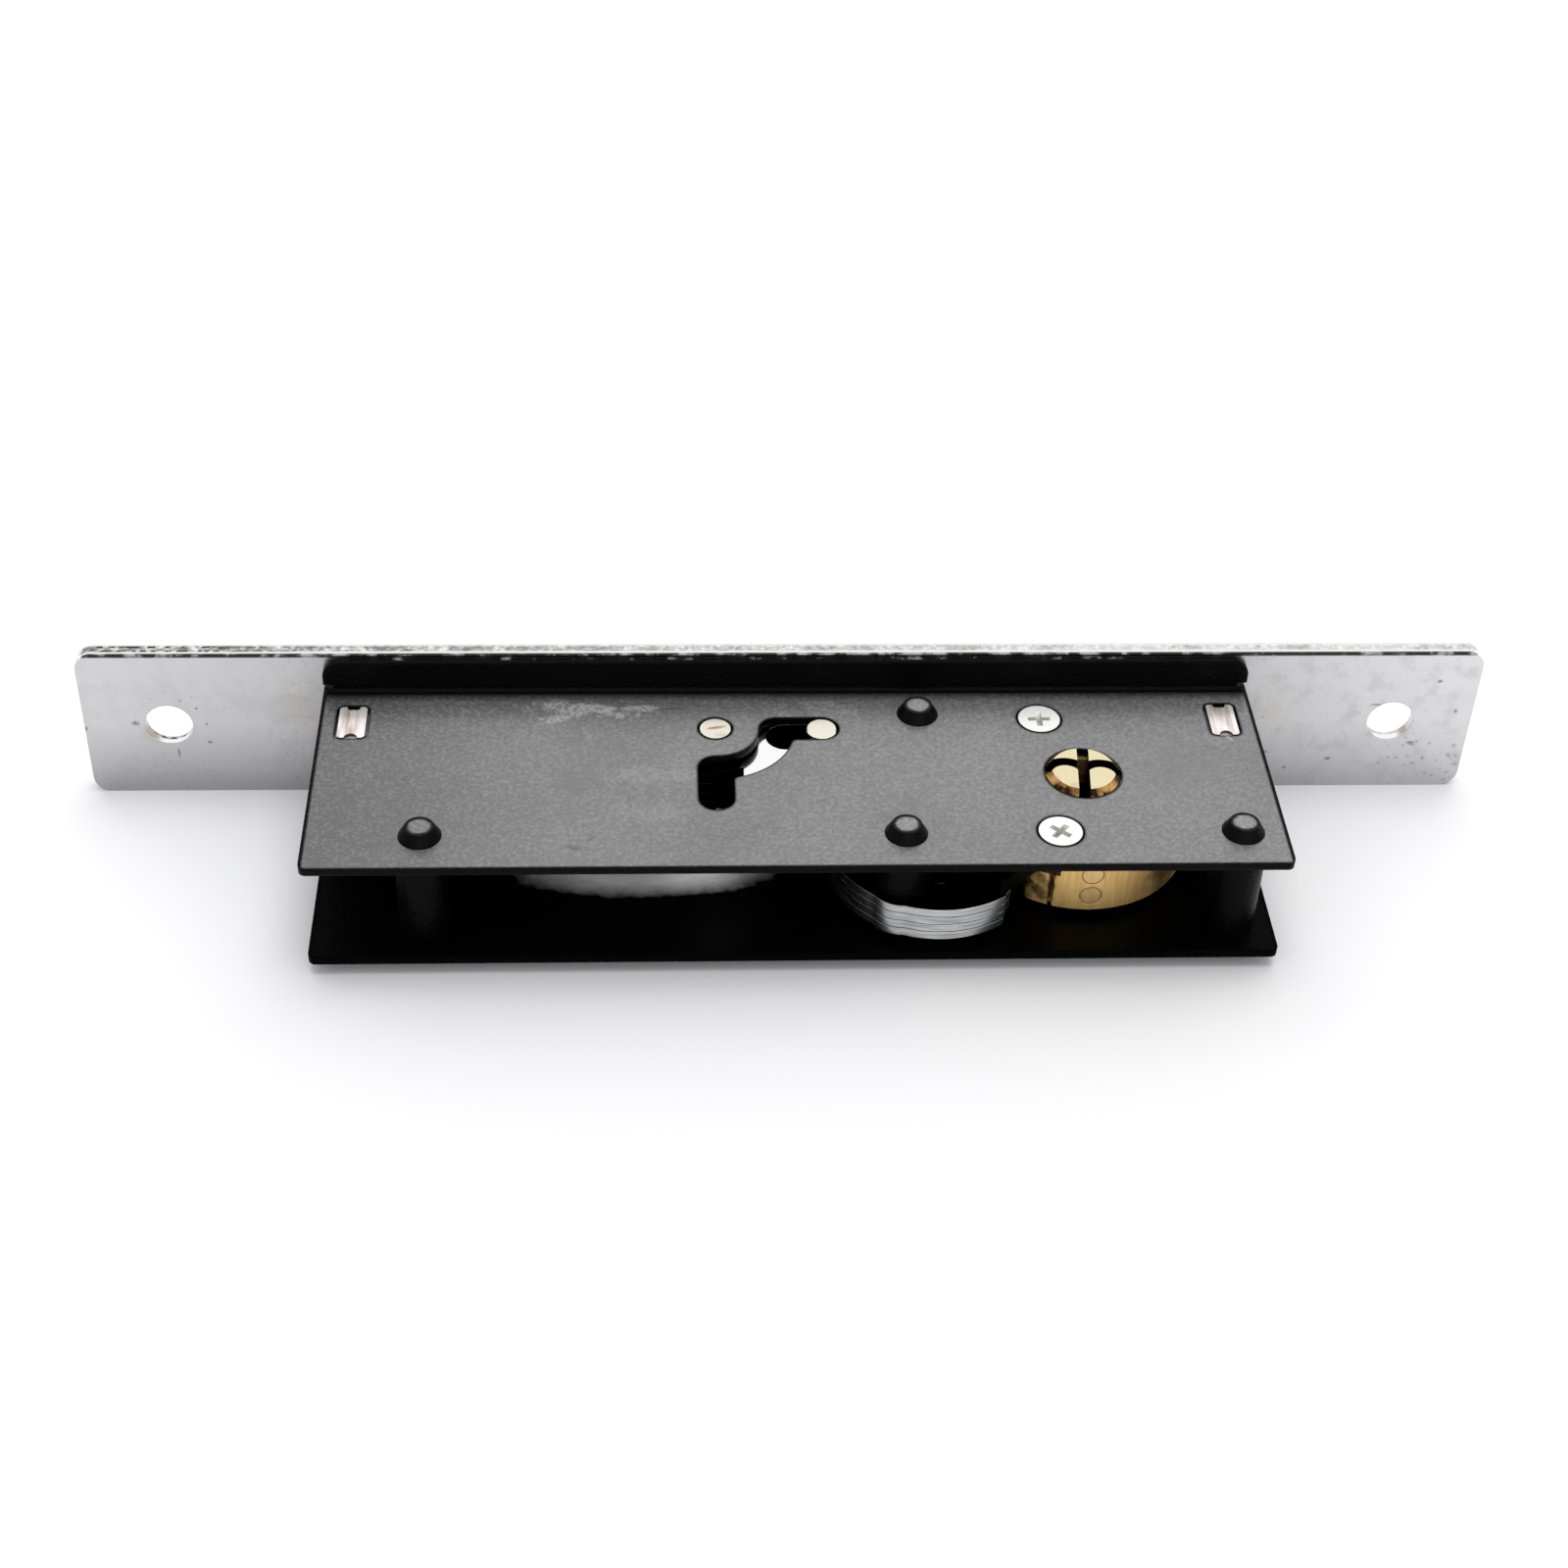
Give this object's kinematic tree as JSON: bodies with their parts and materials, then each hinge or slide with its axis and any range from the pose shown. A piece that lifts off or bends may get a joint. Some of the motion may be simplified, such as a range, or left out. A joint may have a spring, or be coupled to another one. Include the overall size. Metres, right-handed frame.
{
  "type": "sliding door hook lock",
  "caption": "Sliding door hook lock: long steel faceplate, black two-plate case, laminated hook bolt, throw lever and brass cross-key cylinder.",
  "frame": {"origin": "centre of the faceplate's inner face, midway between its two fixing holes", "axes": "+X along the faceplate towards the cylinder, +Y out of the faceplate's outer face, +Z normal to the case plates"},
  "size_m": [0.24, 0.0497, 0.0294],
  "materials": {
    "faceplate_plating": "satin chrome plating with small pits",
    "case_paint": "satin black paint with fine orange peel and pale scuffs",
    "post_black": "semi-gloss black",
    "zinc_plate": "bright zinc plating",
    "brass": "machined, slightly dull",
    "screw_zinc": "bright zinc plating",
    "blackened_steel": "blackened, oiled"
  },
  "bodies": {
    "case": {"faceplate": "faceplate_plating", "upper_case_plate": "case_paint", "lower_case_plate": "case_paint", "spacer_post_left": "post_black", "spacer_post_rear": "post_black", "spacer_post_right": "post_black", "lever_pivot_post": "post_black", "end_block_left": "zinc_plate", "end_block_right": "zinc_plate", "hook_pivot_pin": "brass", "cylinder_body": "brass", "chamber_plugs": "brass", "cylinder_screws": "screw_zinc", "faceplate_screws": "screw_zinc"},
    "hook": {"hook_plate_1": "zinc_plate", "hook_plate_2": "zinc_plate", "hook_plate_3": "zinc_plate", "hook_plate_4": "zinc_plate", "hook_rivets": "zinc_plate"},
    "lever": {"lever_plate_1": "zinc_plate", "lever_plate_2": "zinc_plate", "lever_plate_3": "zinc_plate", "lever_plate_4": "zinc_plate", "lever_rivet": "zinc_plate", "lever_peg": "zinc_plate", "throw_pin": "brass"},
    "plug": {"cylinder_plug": "brass", "cylinder_cam": "blackened_steel", "plug_clip": "blackened_steel"},
    "roller": {"throw_pin_roller": "brass"}
  },
  "joints": [
    {"name": "hook_swing", "type": "hinge", "parent": "case", "child": "hook", "pos_m": [-0.0128, -0.0119, 0], "axis": [0, 0, -1], "range_deg": [0, 90]},
    {"name": "lever_swing", "type": "hinge", "parent": "case", "child": "lever", "pos_m": [0.0171, -0.0389, 0], "axis": [0, 0, 1], "range_deg": [0, 49.5]},
    {"name": "plug_turn", "type": "hinge", "parent": "case", "child": "plug", "pos_m": [0.0475, -0.0241, 0], "axis": [0, 0, -1], "range_deg": [0, 34.4]},
    {"name": "roller_slide", "type": "slide", "parent": "case", "child": "roller", "axis": [-1, 0, 0], "range_m": [0, 0.0074]}
  ],
  "couplings": [
    {"joint": "lever_swing", "follows": "hook_swing", "ratio": 0.55},
    {"joint": "plug_turn", "follows": "hook_swing", "ratio": 0.38222},
    {"joint": "roller_slide", "follows": "hook_swing", "m_per_rad": 0.00471}
  ]
}
